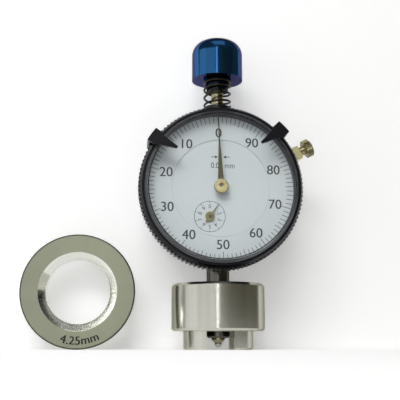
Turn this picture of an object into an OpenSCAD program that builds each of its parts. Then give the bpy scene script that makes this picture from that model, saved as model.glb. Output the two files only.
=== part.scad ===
// Crimp height gauge: a dial indicator on a slotted spigot base, with a push knob and a setting ring.
// The spindle axis is +Z, the dial faces -Y, and z = 0 is the bottom of the spigot.
// Depths (names that end in _d1, _d2 or _front) are counted forwards from the spindle axis, towards -Y.

/* [Base] */
// Diameter of the base flange
base_d = 32.5; // [30:0.5:36]
// Height of the base flange
base_h = 16.1; // [14:0.1:18]
// Diameter of the spigot that enters the crimped cup
skirt_d = 24.2; // [23:0.1:25]
// Height of the spigot below the flange
skirt_h = 6.4; // [6:0.1:8]
// Bore of the spigot around the stem's end
skirt_bore_d = 17; // [14:0.1:18]
// Depth of the spigot's bore
skirt_bore_h = 9; // [8:0.1:10]
// Width of the slot that is milled across the spigot
slot_w = 9.3; // [8:0.1:10.5]
// Height of the slot
slot_h = 6.2; // [4:0.1:6.2]
// Turn of the base on the stem, in degrees
slot_turn = -2; // [-15:1:15]
// Bevel of the slot's mouth
slot_flare = 0.8; // [0.3:0.1:1.2]
// Bevel on the flange's top edge
base_top_bevel = 0.9; // [0.3:0.1:1.5]
// Bevel on the flange's lower edge
base_low_bevel = 0.7; // [0.3:0.1:1.2]
// Bevel on the spigot's lower edge
skirt_bevel = 0.6; // [0.2:0.1:1]
// Depth of the relief groove in the flange's seat
relief_h = 0.6; // [0.3:0.1:1]
// Width of the relief groove in the flange's seat
relief_w = 0.4; // [0.2:0.1:0.8]
// Diameter of the set screw that holds the base on the stem
set_screw_d = 3; // [2:0.5:4]

/* [Spindle and contact point] */
// Diameter of the stem
stem_d = 8; // [7.5:0.1:9]
// Height of the stem's lower end
stem_end_z = 4; // [3.6:0.1:4.6]
// Bevel on the stem's lower end
stem_bevel = 0.6; // [0.3:0.1:0.8]
// Diameter of the measuring spindle
spindle_d = 5; // [4.8:0.1:5.2]
// Diameter of the spindle's thinner upper end
spindle_top_d = 4.4; // [4:0.1:4.6]
// Travel of the spindle when the knob is pressed
travel = 5.2; // [4:0.1:5.2]
// Diameter of the contact point's collar
contact_d = 4.6; // [4:0.1:4.8]
// Height of the contact point's collar
contact_collar_h = 1.2; // [0.8:0.1:1.6]
// Diameter of the contact point's screwed stud
contact_stud_d = 2.4; // [2:0.1:2.6]
// Length of the contact point's screwed stud
contact_stud_h = 5; // [3:0.1:7]
// Diameter of the ball in the contact point
ball_d = 2.4; // [2:0.1:2.8]
// Height of the ball's lowest point at rest
ball_z = 0.8; // [0.6:0.1:1.2]

/* [Knob and spring] */
// Diameter of the push knob
knob_d = 18.5; // [16:0.5:20]
// Height of the knob's head
knob_h = 14.9; // [13:0.1:17]
// Radius of the knob's domed edge
knob_round = 5.5; // [3:0.1:7]
// Length of the knob spring at rest
spring_len = 10.4; // [9.8:0.1:12]
// Diameter of the knob's neck
knob_neck_d = 8; // [7:0.1:8.2]
// Length of the knob's neck
knob_neck_h = 4.2; // [3:0.1:4.2]
// Depth of the spindle's seat in the knob, from the underside
knob_seat = 8; // [5:0.1:10]
// Wire of the knob spring
spring_wire = 0.7; // [0.6:0.05:0.8]
// Radius of the knob spring at the middle of its wire
spring_r = 4.8; // [4.75:0.05:5.2]
// Turns of the knob spring
spring_turns = 4; // [3:1:4]
// Pitch of the spring's end turns
spring_end_pitch = 1.35; // [1.25:0.05:1.5]

/* [Dial case] */
// Length of stem that shows between the bezel and the base
stem_show = 4; // [3:0.1:8]
// Distance from the bezel's rim in to the case
case_inset = 2.2; // [1.9:0.1:2.5]
// Wall of the case
case_wall = 1.9; // [1.5:0.1:2.2]
// Depth of the case's front face
case_front = 9.1; // [8.6:0.1:9.4]
// Thickness of the case's front wall
web_t = 1.2; // [0.8:0.1:1.4]
// Distance from the spindle axis to the case's back edge
case_back = 7; // [6.5:0.1:8]
// Thickness of the back cover
cover_t = 1.6; // [1.2:0.1:2.2]
// Distance of the circle of cover screws from the case's inner wall
cover_screw_inset = 2.6; // [2.4:0.1:3]
// Shank diameter of a cover screw
cover_screw_d = 1.8; // [1.4:0.1:2]
// Head diameter of a cover screw
cover_head_d = 3.6; // [3:0.1:4]
// Height of a cover screw's head
cover_head_h = 0.8; // [0.6:0.1:1]
// Diameter of the spindle's upper bush
bush_d = 9.6; // [9.2:0.1:10]
// Length of the upper bush inside the case
bush_depth = 3; // [2:0.1:3.4]
// Height of the upper bush above the bezel
bush_show = 3.2; // [2:0.1:8]

/* [Bezel and dial] */
// Diameter over the bezel's knurled rim
bezel_d = 57; // [56.4:0.1:58]
// Width of the bezel's face, from the rim to the dial opening
face_w = 3.1; // [2.9:0.1:4.6]
// Depth of the bezel's rear edge
bezel_rear = 5.1; // [5:0.05:5.3]
// Depth of the bezel's front face
bezel_front = 15; // [14:0.1:16]
// Width of the knurled rim
rim_w = 6.1; // [5:0.1:6.6]
// Flutes around the knurled rim
flutes = 116; // [60:2:140]
// Depth of a flute
flute_depth = 0.45; // [0.2:0.05:0.6]
// Distance from the bezel's rim in to the crystal
crystal_inset = 2.1; // [1.9:0.05:2.3]
// Thickness of the crystal
crystal_t = 1.4; // [1:0.1:1.6]
// Rise of the crystal's bevel in front of the bezel
crystal_rise = 1.3; // [0.8:0.1:1.6]
// Thickness of the dial ring
dial_t = 0.5; // [0.3:0.1:0.6]
// Width of the turning dial ring, from the dial opening in to the fixed plate
dial_band = 8.5; // [7.4:0.1:8.6]
// Turn of the dial ring and the pointer from upright, in degrees
dial_turn = 2; // [-10:1:10]
// Distance of the pointer's tip from the dial opening
hand_gap = 0.5; // [0.4:0.1:4]
// Width of the pointer at its hub
hand_w = 2.2; // [1:0.05:2.4]
// Width of the pointer at its tip
hand_tip_w = 0.25; // [0.2:0.05:0.5]
// Diameter of the pointer's hub
hub_d = 4.9; // [4:0.1:6]
// Length of the counter's pointer
counter_len = 5.2; // [4:0.1:5.4]
// Reading of the counter at rest, in millimetres
counter_reading = 1; // [0:0.1:5]

/* [Limit markers and clamp] */
// Width of a limit marker
marker_w = 5; // [4:0.1:6]
// Distance that a marker stands out from the bezel's rim
marker_out = 1.1; // [0.9:0.1:2.6]
// Distance that a marker's tip reaches over the dial
marker_reach = 5.7; // [3:0.1:6]
// Angle of the left marker, anticlockwise from the top
marker_left_at = 55; // [45:1:60]
// Angle of the right marker, clockwise from the top
marker_right_at = 46; // [40:1:55]
// Thickness of a marker's plate
marker_t = 0.8; // [0.6:0.1:1]
// Angle of the bezel clamp, anticlockwise from +X
clamp_at = 27; // [20:1:35]
// Width of the clamp's plate around the case
clamp_plate_w = 8.3; // [7:0.1:10]
// Thickness of the clamp's plate
clamp_plate_t = 3.3; // [2.6:0.1:3.8]
// Depth of the clamp's plate, from front to back
clamp_plate_h = 7.8; // [6:0.1:9]
// Width of the clamp's nut
clamp_nut_w = 4.8; // [4:0.1:6]
// Height of the clamp's nut
clamp_nut_h = 3.4; // [2:0.1:4]
// Depth of the clamp's nut, from front to back
clamp_nut_t = 4.4; // [3.6:0.1:6]
// Shank diameter of the clamp screw
clamp_screw_d = 2.4; // [2:0.1:2.6]
// Head diameter of the clamp screw
clamp_head_d = 6.5; // [5:0.1:7]
// Height of the clamp screw's head
clamp_head_h = 2.2; // [1.5:0.1:3]
// Gap under the clamp screw's head
clamp_neck_h = 2; // [0.8:0.1:2.4]

/* [Gear train] */
// Pitch of the spindle's rack
rack_pitch = 0.625; // [0.6:0.005:0.65]
// Teeth on the rack pinion
rack_pinion_teeth = 16; // [16:1:16]
// Teeth on the drive gear and the take-up gear
gear_teeth = 100; // [100:1:100]
// Teeth on the centre pinion
pinion_teeth = 10; // [10:1:10]
// Depth of the rack's pitch line in the spindle
rack_cut = 0.29; // [0.25:0.01:0.35]
// Face width of the rack pinion
rack_pinion_w = 2.8; // [2:0.1:3.4]
// Distance that the large gears reach past the movement plate
gear_over = 1.36; // [1:0.02:1.6]
// Direction of the take-up arbor from the dial's centre, in degrees
take_up_at = 60; // [56:1:62]
// Face width of the large gears
gear_t = 0.5; // [0.4:0.05:0.6]
// Diameter of the arbors
arbor_d = 1.2; // [1:0.05:1.3]
// Thickness of the movement plate
movement_t = 0.6; // [0.4:0.05:0.8]
// Distance from the case's inner wall in to the movement plate
movement_inset = 5.2; // [5:0.1:5.6]
// Diameter of the movement's pillars
pillar_d = 3; // [2:0.1:3.2]
// Distance of the circle of pillars from the movement plate's edge
pillar_inset = 1.8; // [1.6:0.1:2.2]

/* [Setting ring] */
// Outer diameter of the setting ring
ring_d = 40; // [38:0.1:44]
// Height at which the ring holds the spigot above a plate
ring_height = 4.25; // [3:0.05:4.25]
// Bore of the setting ring
ring_bore_d = 22.5; // [21:0.1:22.6]
// Diameter of the ring's countersink
ring_sink_d = 27.4; // [26:0.1:30]
// Bevel on the ring's outer edges
ring_bevel = 0.4; // [0.2:0.1:0.8]
// Place of the ring's centre, left of the spindle axis
ring_x = 48.9; // [48:0.1:60]

/* [Clearances] */
// Radial clearance of a sliding or turning shaft
run = 0.03; // [0.02:0.01:0.05]
// Radial clearance of a piece that is fixed in its hole
fixed = 0.01; // [0.005:0.005:0.02]
// Gap between faces that slide past each other
slide_gap = 0.05; // [0.03:0.01:0.1]
// Gap between pieces that move clear of each other
clear = 0.3; // [0.25:0.05:0.35]

/* [Hidden] */
$fn = 96;
past = 1;

bezel_r = bezel_d / 2;
opening_r = bezel_r - face_w;
crystal_r = bezel_r - crystal_inset;
case_r = bezel_r - case_inset;
plate_r = opening_r - dial_band;
hand_len = opening_r - hand_gap;
marker_r = bezel_r + marker_out;
marker_tip_r = opening_r - marker_reach;
clamp_plate_r = case_r + clamp_plate_t;

base_r = base_d / 2;
base_top = skirt_h + base_h;
dial_z = base_top + stem_show + bezel_r;
bush_z = dial_z + bezel_r + bush_show;
knob_z = bush_z + spring_len;
skirt_r = skirt_d / 2;
skirt_bore_r = skirt_bore_d / 2;
relief_r = skirt_r + relief_w;
slot_side = slot_w / 2;
mouth_r = skirt_r + past;
mouth_side = slot_side + slot_flare + past;
stem_r = stem_d / 2;
spindle_r = spindle_d / 2;
set_screw_r = set_screw_d / 2;
set_screw_z = skirt_h + 0.66 * base_h;
socket_r = 0.55 * set_screw_r;

ball_r = ball_d / 2;
ball_mid = ball_z + ball_r;
contact_r = contact_d / 2;
contact_top = stem_end_z + stem_bevel;
contact_low = contact_top - contact_collar_h;
contact_nose_r = 0.9 * ball_r;
contact_nose_z = ball_mid + 0.2 * ball_r;

knob_r = knob_d / 2;
knob_neck_z = knob_z - knob_neck_h;
spindle_tip_z = knob_z + knob_seat;
spring_top = knob_z - slide_gap;

bush_r = bush_d / 2;
bush_low = dial_z + case_r - case_wall - bush_depth;
spindle_step_z = bush_low - bush_depth;
lower_boss_r = stem_r + 2;
lower_boss_h = 4.4;
stem_top = dial_z - case_r + case_wall / 2 + lower_boss_h;
upper_boss_r = bush_r + 1.4;
case_in_r = case_r - case_wall;
cover_screw_r = case_in_r - cover_screw_inset;
movement_r = case_in_r - movement_inset;
pillar_r = movement_r - pillar_inset;
web_rear = case_front - web_t;
screw_boss_r = cover_screw_d / 2 + 1.5;
screw_len = 5;
cover_screw_angles = [30, 120, 210, 300];

bezel_in_r = case_r + 0.25;
bezel_tail_r = bezel_in_r + 1.05;
rim_rear = bezel_rear + 1;
rim_front = rim_rear + rim_w;
rim_root_r = bezel_r - flute_depth;
front_ring_r = bezel_r - 0.6;
seat_depth = bezel_front - 1.6;
dial_front = case_front + 0.2 + dial_t;
dial_ring_r = opening_r + 0.4;
plate_front = case_front + dial_t + 0.1;
wire_r = 0.25;
wire_ring_r = case_r + 0.12;
wire_at = (bezel_rear + case_front) / 2;

seal_t = 0.3;
crystal_back = seat_depth + seal_t;
crystal_step = bezel_front;
crystal_top = bezel_front + crystal_rise;
crystal_crown = 0.3;

marker_d1 = bezel_rear + 0.2;
marker_d2 = crystal_top + crystal_crown + clear;
marker_wall_r = bezel_r + clear;
marker_lip_r = bezel_tail_r + clear;
marker_lip_t = 0.6;
marker_neck_r = opening_r + 1.2;
marker_neck_w = 0.76 * marker_w;
marker_off = 0.25 * marker_w;
marker_tip_w = 0.16 * marker_w;

clamp_d2 = bezel_rear - clear;
clamp_d1 = clamp_d2 - clamp_plate_h;
clamp_nut_d1 = clamp_d2 - clamp_nut_t;
clamp_axis = clamp_d2 - clamp_screw_d / 2 - 0.25;
clamp_nut_r = clamp_plate_r + clamp_nut_h;
clamp_head_r = clamp_nut_r + clamp_neck_h;
clamp_knob_r = clamp_head_d / 2;
clamp_knurls = 30;

tooth_top = 0.7;
tooth_root = 0.31;
tooth = [[-tooth_root, -1.1], [-0.12, tooth_top], [0.12, tooth_top], [tooth_root, -1.1]];
rack_pitch_r = rack_pinion_teeth * rack_pitch / (2 * PI);
rack_module = rack_pitch / PI;
rack_x = spindle_r - rack_cut;
counter_x = rack_x + rack_pitch_r;
train_module = 2 * (movement_r + gear_over) / (2 * gear_teeth + pinion_teeth + 2 * tooth_top);
train_distance = train_module * (gear_teeth + pinion_teeth) / 2;
counter_drop = sqrt(train_distance * train_distance - counter_x * counter_x);
counter_z = dial_z - counter_drop;
gear_pitch_r = train_module * gear_teeth / 2;
pinion_pitch_r = train_module * pinion_teeth / 2;
counter_dir = atan2(counter_drop, counter_x);
pinion_tooth = 360 / pinion_teeth;
pinion_phase = counter_dir + 180 + pinion_tooth / 2;
take_up_x = train_distance * cos(take_up_at);
take_up_z = dial_z + train_distance * sin(take_up_at);
arbor_r = arbor_d / 2;
movement_rear = spindle_r + 0.25;
movement_front = movement_rear + movement_t;
take_up_d1 = movement_front + 0.5;
drive_d1 = web_rear - gear_t - 0.4;
pillar_angles = [-20, 130, 180];
cock_d2 = -(spindle_r + 0.25);
cock_t = 0.7;
cock_post_x = counter_x + 4.9;
cock_post_r = 1.2;
cock_edge = 1.7;
cock_h = 7.2;
rail_x = 5.2;
rail_w = 2.2;
rail_z = dial_z - 2;
rail_h = travel + 7.8;
pin_r = 0.8;
pin_z = rail_z + rail_h - 3;
spring_x = rail_x + rail_w + 1.8;
return_r = 1.5;
post_r = 1;
post_z = dial_z - sqrt(pow(movement_r - 2 * post_r, 2) - spring_x * spring_x);

hand_d1 = plate_front + 1.7;
hand_t = 0.3;
hand_knee_r = 0.66 * hand_len;
hand_knee_w = hand_tip_w + 0.12 * hand_w;
hub_h = 1.3;
counter_hand_d1 = plate_front + 0.6;
counter_hand_t = 0.2;

ring_r = ring_d / 2;
ring_bore_r = ring_bore_d / 2;
ring_sink = ring_sink_d / 2 - ring_bore_r;
ring_t = ring_height + ring_sink_d / 2 - skirt_r + skirt_bevel;
ring_y = case_back + cover_t - ring_t;

steel = [0.72, 0.73, 0.70];
dark_steel = [0.36, 0.36, 0.34];
black = [0.13, 0.14, 0.16];
brass = [0.70, 0.66, 0.42];
blue = [0.10, 0.37, 0.58];
white = [0.80, 0.84, 0.83];
bronze = [0.45, 0.43, 0.28];

// Extrudes an outline in X and Z between two depths.
module layer(d1, d2) {
    translate([0, -d1, 0]) rotate([90, 0, 0]) linear_extrude(d2 - d1) children();
}

// The same, with the outline centred on the dial.
module dial_layer(d1, d2) {
    translate([0, 0, dial_z]) layer(d1, d2) children();
}

// Revolves an outline of radius and depth about the dial's axis.
module dial_turned() {
    translate([0, 0, dial_z]) rotate([90, 0, 0]) rotate_extrude() children();
}

// Stands a shape that lies along +X radially on the dial, at an angle anticlockwise from +X.
module on_dial(angle) {
    translate([0, 0, dial_z]) rotate([0, -angle, 0]) children();
}

// A strip of the ring between two radii, of the given width, that lies along +X.
module ring_strip(r1, r2, w) {
    intersection() {
        difference() {
            circle(r2);
            circle(r1);
        }
        translate([0, -w / 2]) square([r2 + past, w]);
    }
}

// Outline of a gear: its teeth have straight flanks and stand half a tooth apart at the given phase.
function gear_points(teeth, pitch_r, m, phase) = [
    for (k = [0 : teeth - 1], p = tooth)
        let (a = phase + (k + p[0]) * 360 / teeth, r = pitch_r + p[1] * m) [r * cos(a), r * sin(a)]
];

module gear_outline(teeth, pitch_r, m, phase, bore_r) {
    difference() {
        polygon(gear_points(teeth, pitch_r, m, phase));
        if (bore_r > 0) circle(bore_r);
    }
}

// Outline of the space that the rack leaves beside the spindle, with one tooth at the pinion's height.
rack_low = -7;
rack_high = 13;
rack_profile = [
    for (k = [rack_low : rack_high], p = tooth)
        [-rack_x - p[1] * rack_module, counter_z + (k + p[0]) * rack_pitch]
];
rack_space = concat(
    [[-spindle_r - past, counter_z + (rack_low - tooth_root) * rack_pitch]],
    rack_profile,
    [[-spindle_r - past, counter_z + (rack_high + tooth_root) * rack_pitch]]
);

// Path of the knob spring: straight ends, close end turns and wider turns between them.
spring_steps = 8 * spring_turns;
spring_rise = spring_top - bush_z - 2 * spring_wire;
spring_extra = spring_rise / spring_turns - spring_end_pitch;
function spring_z(t) =
    bush_z + spring_wire + spring_end_pitch * t
    + spring_extra * (t - spring_turns * sin(360 * t / spring_turns) / (2 * PI));
function spring_point(t) = [spring_r * cos(360 * t), spring_r * sin(360 * t), spring_z(t)];
spring_path = concat(
    [[spring_r, 0, bush_z]],
    [for (k = [0 : spring_steps]) spring_point(k / 8)],
    [[spring_r, 0, spring_top]]
);
spring_last = len(spring_path) - 1;
spring_gap = min([
    for (i = [0 : spring_last - 5], j = [i + 5 : spring_last]) norm(spring_path[i] - spring_path[j])
]) - spring_wire;
echo(knob_spring_least_gap = spring_gap);

function unit(v) = v / norm(v);
function spring_tangent(i) =
    i == 0 || i == spring_last ? [0, 0, 1] : unit(unit(spring_path[i + 1] - spring_path[i])
                                                  + unit(spring_path[i] - spring_path[i - 1]));
function tube_ring(i) =
    let (p = spring_path[i], out = unit([p[0], p[1], 0]), side = unit(cross(spring_tangent(i), out)))
    [for (k = [0 : 5]) p + spring_wire / 2 * (cos(60 * k) * out + sin(60 * k) * side)];
function tube_faces(rings) = concat(
    [for (k = [1 : 4]) [0, k + 1, k]],
    [for (i = [0 : rings - 2], k = [0 : 5], half = [0, 1])
        let (a = 6 * i + k, b = 6 * i + (k + 1) % 6)
        half == 0 ? [a, b, b + 6] : [a, b + 6, a + 6]],
    [for (k = [1 : 4]) [6 * rings - 6, 6 * rings - 6 + k, 6 * rings - 6 + k + 1]]
);

// Outline of a hairspring: a flat spiral strip.
hair_turns = 4;
hair_r1 = 1.4;
hair_step = 0.7;
hair_t = 0.15;
function hair_point(t, side) =
    let (r = hair_r1 + hair_step * t + side * hair_t / 2) [r * cos(360 * t), r * sin(360 * t)];
hair_outline = concat(
    [for (k = [0 : 24 * hair_turns]) hair_point(k / 24, 1)],
    [for (k = [24 * hair_turns : -1 : 0]) hair_point(k / 24, -1)]
);

// Moves a shape to the take-up arbor.
module at_take_up() {
    translate([take_up_x, 0, take_up_z]) children();
}

// Moves a shape to the counter arbor.
module at_counter() {
    translate([-counter_x, 0, counter_z]) children();
}

module case() {
    color(dark_steel) difference() {
        union() {
            dial_turned() polygon([[0, web_rear], [case_in_r, web_rear], [case_in_r, -case_back],
                                   [case_r, -case_back], [case_r, case_front], [0, case_front]]);
            for (a = cover_screw_angles) on_dial(a) translate([cover_screw_r, 0, 0])
                layer(-case_back, web_rear + web_t / 2) circle(screw_boss_r);
            translate([0, 0, dial_z - case_r + case_wall / 2]) cylinder(r = lower_boss_r, h = lower_boss_h);
            translate([0, 0, bush_low]) cylinder(r = upper_boss_r, h = dial_z + case_in_r - bush_low);
        }
        translate([0, 0, dial_z - case_r - past]) cylinder(r = stem_r + fixed, h = stem_top - dial_z + case_r + 2 * past);
        translate([0, 0, bush_low - past]) cylinder(r = bush_r + fixed, h = case_r);
        for (a = cover_screw_angles) on_dial(a) translate([cover_screw_r, 0, 0])
            layer(-case_back - past, -case_back + screw_len) circle(cover_screw_d / 2 + run);
        dial_layer(web_rear - past, case_front + past) circle(arbor_r + run);
        at_take_up() layer(web_rear - past, case_front - web_t / 3) circle(arbor_r + run);
        at_counter() layer(web_rear - past, case_front + past) circle(arbor_r + run);
        dial_turned() translate([wire_ring_r, wire_at]) circle(wire_r + fixed);
    }
}

module back_cover() {
    color(dark_steel) difference() {
        dial_layer(-case_back - cover_t, -case_back) circle(case_r);
        for (a = cover_screw_angles) on_dial(a) translate([cover_screw_r, 0, 0]) {
            layer(-case_back - cover_t - past, -case_back + past) circle(cover_screw_d / 2 + run);
            layer(-case_back - cover_t - past, -case_back - cover_t + cover_head_h)
                circle(cover_head_d / 2 + run);
        }
    }
}

module cover_screws() {
    seat = -case_back - cover_t + cover_head_h;
    color(steel) for (a = cover_screw_angles) on_dial(a) translate([cover_screw_r, 0, 0]) difference() {
        union() {
            layer(seat - cover_head_h, seat) circle(cover_head_d / 2);
            layer(seat - past / 2, -case_back + screw_len - clear) circle(cover_screw_d / 2);
        }
        layer(seat - cover_head_h - past, seat - cover_head_h / 2)
            square([cover_head_d + past, cover_head_d / 6], center = true);
    }
}

module stem() {
    color(steel) difference() {
        union() {
            translate([0, 0, stem_end_z]) cylinder(r1 = stem_r - stem_bevel, r2 = stem_r, h = stem_bevel);
            translate([0, 0, stem_end_z + stem_bevel])
                cylinder(r = stem_r, h = stem_top - stem_end_z - stem_bevel);
        }
        translate([0, 0, stem_end_z - past]) cylinder(r = spindle_r + run, h = dial_z);
    }
}

module upper_bush() {
    color(black) difference() {
        union() {
            translate([0, 0, bush_low]) cylinder(r = bush_r, h = bush_z - bush_low - 0.4);
            translate([0, 0, bush_z - 0.4]) cylinder(r1 = bush_r, r2 = bush_r - 0.4, h = 0.4);
            translate([0, 0, bush_z - 0.4]) cylinder(r = spring_r + 0.2, h = 0.4);
        }
        translate([0, 0, bush_low - past]) cylinder(r = spindle_top_d / 2 + run, h = dial_z);
    }
}

module movement_plate() {
    color(brass) difference() {
        dial_layer(movement_rear, movement_front) circle(movement_r);
        dial_layer(movement_rear - past, movement_front + past) circle(arbor_r + run);
        at_take_up() layer(movement_rear - past, movement_front + past) circle(arbor_r + run);
        at_counter() layer(movement_rear - past, movement_front + past) circle(arbor_r + clear);
    }
}

module pillars() {
    color(brass) for (a = pillar_angles) on_dial(a) translate([pillar_r, 0, 0])
        layer(movement_front, web_rear) circle(pillar_d / 2);
}

module guide_rail() {
    color(brass) difference() {
        translate([rail_x, -movement_rear, rail_z]) cube([rail_w, 2 * movement_rear, rail_h]);
        translate([rail_x - past, -pin_r - run, pin_z - travel - pin_r - clear])
            cube([rail_w + 2 * past, 2 * (pin_r + run), travel + 2 * (pin_r + clear)]);
    }
}

module pinion_cock() {
    color(brass) {
        difference() {
            translate([-cock_post_x - cock_edge, -cock_d2, counter_z - cock_h / 2])
                cube([cock_post_x - counter_x + 2 * cock_edge, cock_t, cock_h]);
            at_counter() layer(cock_d2 - cock_t - past, cock_d2 + past) circle(arbor_r + run);
        }
        for (s = [-1, 1]) translate([-cock_post_x, 0, counter_z + s * cock_h * 0.3])
            layer(cock_d2, movement_rear) circle(cock_post_r);
    }
}

module spring_post() {
    color(steel) translate([spring_x, 0, post_z]) layer(-return_r, movement_rear) circle(post_r);
}

module return_spring() {
    low = post_z + post_r + slide_gap;
    color(dark_steel) translate([spring_x, 0, low]) difference() {
        cylinder(r = return_r, h = pin_z - pin_r - slide_gap - low);
        translate([0, 0, 1]) cylinder(r = return_r - 0.4, h = pin_z - pin_r - slide_gap - low - 2);
    }
}

module hairspring() {
    color(dark_steel) at_take_up() {
        layer(web_rear - 0.9, web_rear - 0.3) polygon(hair_outline);
        translate([hair_r1 + hair_step * hair_turns, 0, -0.3]) layer(web_rear - 0.9, web_rear) circle(0.35);
    }
}

module dial_plate() {
    color(white) difference() {
        dial_layer(case_front, plate_front) circle(plate_r);
        dial_layer(case_front - past, plate_front + past) circle(arbor_r + clear);
        at_counter() layer(case_front - past, plate_front + past) circle(arbor_r + clear);
    }
}

module bezel_wire() {
    color(steel) dial_turned() translate([wire_ring_r, wire_at]) circle(wire_r);
}

module clamp_plate() {
    color(steel) difference() {
        on_dial(clamp_at) layer(clamp_d1, clamp_d2) ring_strip(case_r + fixed, clamp_plate_r, clamp_plate_w);
        clamp_bore(clamp_screw_d / 2 + run);
    }
}

// Removes the radial hole of the clamp screw.
module clamp_bore(r) {
    on_dial(clamp_at) translate([case_r - past, -clamp_axis, 0]) rotate([0, 90, 0])
        cylinder(r = r, h = case_r);
}

module clamp_nut() {
    color(brass) difference() {
        on_dial(clamp_at) layer(clamp_nut_d1, clamp_d2) difference() {
            translate([clamp_plate_r - past, -clamp_nut_w / 2]) square([clamp_nut_h + past, clamp_nut_w]);
            circle(clamp_plate_r + fixed);
        }
        clamp_bore(clamp_screw_d / 2 + run);
    }
}

module clamp_screw() {
    shank_r = clamp_screw_d / 2;
    color(brass) on_dial(clamp_at) translate([0, -clamp_axis, 0]) rotate([0, 90, 0]) {
        translate([0, 0, case_r + clear]) cylinder(r1 = 0.4, r2 = shank_r, h = 0.8);
        translate([0, 0, case_r + clear + 0.8]) cylinder(r = shank_r, h = clamp_nut_r - case_r - clear);
        translate([0, 0, clamp_nut_r + slide_gap]) cylinder(r = shank_r + 0.4, h = clamp_neck_h);
        translate([0, 0, clamp_head_r]) linear_extrude(clamp_head_h) polygon([
            for (k = [0 : 2 * clamp_knurls - 1])
                let (r = clamp_knob_r - (k % 2) * 0.2, a = 180 * k / clamp_knurls) [r * cos(a), r * sin(a)]
        ]);
        translate([0, 0, clamp_head_r + clamp_head_h])
            cylinder(r1 = clamp_knob_r - 0.3, r2 = clamp_knob_r - 0.7, h = 0.4);
    }
}

module base() {
    color(steel) difference() {
        rotate_extrude() polygon([
            [skirt_bore_r, 0], [skirt_r - skirt_bevel, 0], [skirt_r, skirt_bevel],
            [skirt_r, skirt_h + relief_h], [relief_r, skirt_h + relief_h], [relief_r, skirt_h],
            [base_r - base_low_bevel, skirt_h], [base_r, skirt_h + base_low_bevel],
            [base_r, base_top - base_top_bevel], [base_r - base_top_bevel, base_top],
            [stem_r + fixed, base_top], [stem_r + fixed, skirt_bore_h], [skirt_bore_r, skirt_bore_h]
        ]);
        for (a = [-90, 90]) rotate(a + slot_turn) translate([0, 0, -past]) linear_extrude(slot_h + past)
            polygon([[0, -slot_side], [skirt_r - slot_flare, -slot_side], [mouth_r, -mouth_side],
                     [mouth_r, mouth_side], [skirt_r - slot_flare, slot_side], [0, slot_side]]);
        translate([0, 0, set_screw_z]) layer(-base_r - past, -stem_r + past) circle(set_screw_r);
    }
}

module base_set_screw() {
    color(dark_steel) translate([0, 0, set_screw_z]) difference() {
        layer(-base_r + 1.5, -stem_r - fixed) circle(set_screw_r - fixed);
        layer(-base_r + 0.5, -base_r + 3.5) circle(socket_r, $fn = 6);
    }
}

module knob_spring() {
    points = [for (i = [0 : spring_last], p = tube_ring(i)) p];
    color(dark_steel) polyhedron(points, tube_faces(spring_last + 1));
}

module spindle() {
    color(steel) difference() {
        union() {
            translate([0, 0, contact_top]) cylinder(r = spindle_r, h = spindle_step_z - contact_top);
            translate([0, 0, spindle_step_z - past])
                cylinder(r = spindle_top_d / 2, h = spindle_tip_z - spindle_step_z + past);
        }
        layer(-spindle_r - past, spindle_r + past) polygon(rack_space);
        translate([0, 0, pin_z]) rotate([0, 90, 0]) cylinder(r = pin_r + fixed, h = spindle_d);
        translate([0, 0, contact_top - past])
            cylinder(r = contact_stud_d / 2 + fixed, h = past + contact_stud_h + clear);
    }
}

module guide_pin() {
    color(steel) translate([0, 0, pin_z]) rotate([0, 90, 0]) cylinder(r = pin_r, h = spring_x + return_r);
}

module knob() {
    color(blue) difference() {
        union() {
            rotate_extrude() translate([0, knob_z]) {
                square([knob_r, knob_h - knob_round]);
                square([knob_r - knob_round, knob_h]);
                translate([knob_r - knob_round, knob_h - knob_round]) intersection() {
                    circle(knob_round);
                    square(knob_round);
                }
            }
            translate([0, 0, knob_neck_z]) cylinder(r = knob_neck_d / 2, h = knob_neck_h + past);
        }
        translate([0, 0, knob_neck_z - past])
            cylinder(r = spindle_top_d / 2 + fixed, h = knob_seat + knob_neck_h + past);
    }
}

module contact_point() {
    color(dark_steel) difference() {
        rotate_extrude() polygon([
            [0, contact_nose_z], [contact_nose_r, contact_nose_z],
            [contact_r, contact_low], [contact_r, contact_top],
            [contact_stud_d / 2, contact_top], [contact_stud_d / 2, contact_top + contact_stud_h],
            [0, contact_top + contact_stud_h]
        ]);
        translate([0, 0, ball_mid]) sphere(ball_r + fixed);
    }
}

module contact_ball() {
    color(steel) translate([0, 0, ball_mid]) sphere(ball_r);
}

module main_hand() {
    color(bronze) dial_layer(hand_d1, hand_d1 + hand_t) rotate(90 + dial_turn) difference() {
        union() {
            polygon([[0, -hand_w / 2], [hand_knee_r, -hand_knee_w / 2], [hand_len, -hand_tip_w / 2],
                     [hand_len, hand_tip_w / 2], [hand_knee_r, hand_knee_w / 2], [0, hand_w / 2]]);
            circle(hub_d / 2 - 0.3);
        }
        circle(arbor_r + fixed);
    }
}

module hand_hub() {
    top = hand_d1 + hand_t;
    color(brass) dial_turned() polygon([
        [arbor_r + fixed, top], [hub_d / 2, top], [hub_d / 2, top + 0.8 * hub_h],
        [0.92 * hub_d / 2, top + hub_h], [1.5 * arbor_r, top + hub_h], [arbor_r + fixed, top + 0.8 * hub_h]
    ]);
}

module centre_arbor() {
    color(steel) {
        dial_layer(movement_rear + slide_gap, hand_d1 + hand_t + 0.9 * hub_h) circle(arbor_r);
        dial_layer(movement_front + slide_gap, web_rear - slide_gap)
            gear_outline(pinion_teeth, pinion_pitch_r, train_module, pinion_phase, 0);
    }
}

module counter_hand() {
    color(bronze) at_counter() layer(counter_hand_d1, counter_hand_d1 + counter_hand_t)
        rotate(90 - 36 * counter_reading) difference() {
            union() {
                polygon([[-2.3, -0.35], [counter_len, -0.1], [counter_len, 0.1], [-2.3, 0.35]]);
                circle(1.6);
            }
            circle(arbor_r + fixed);
        }
}

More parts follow.
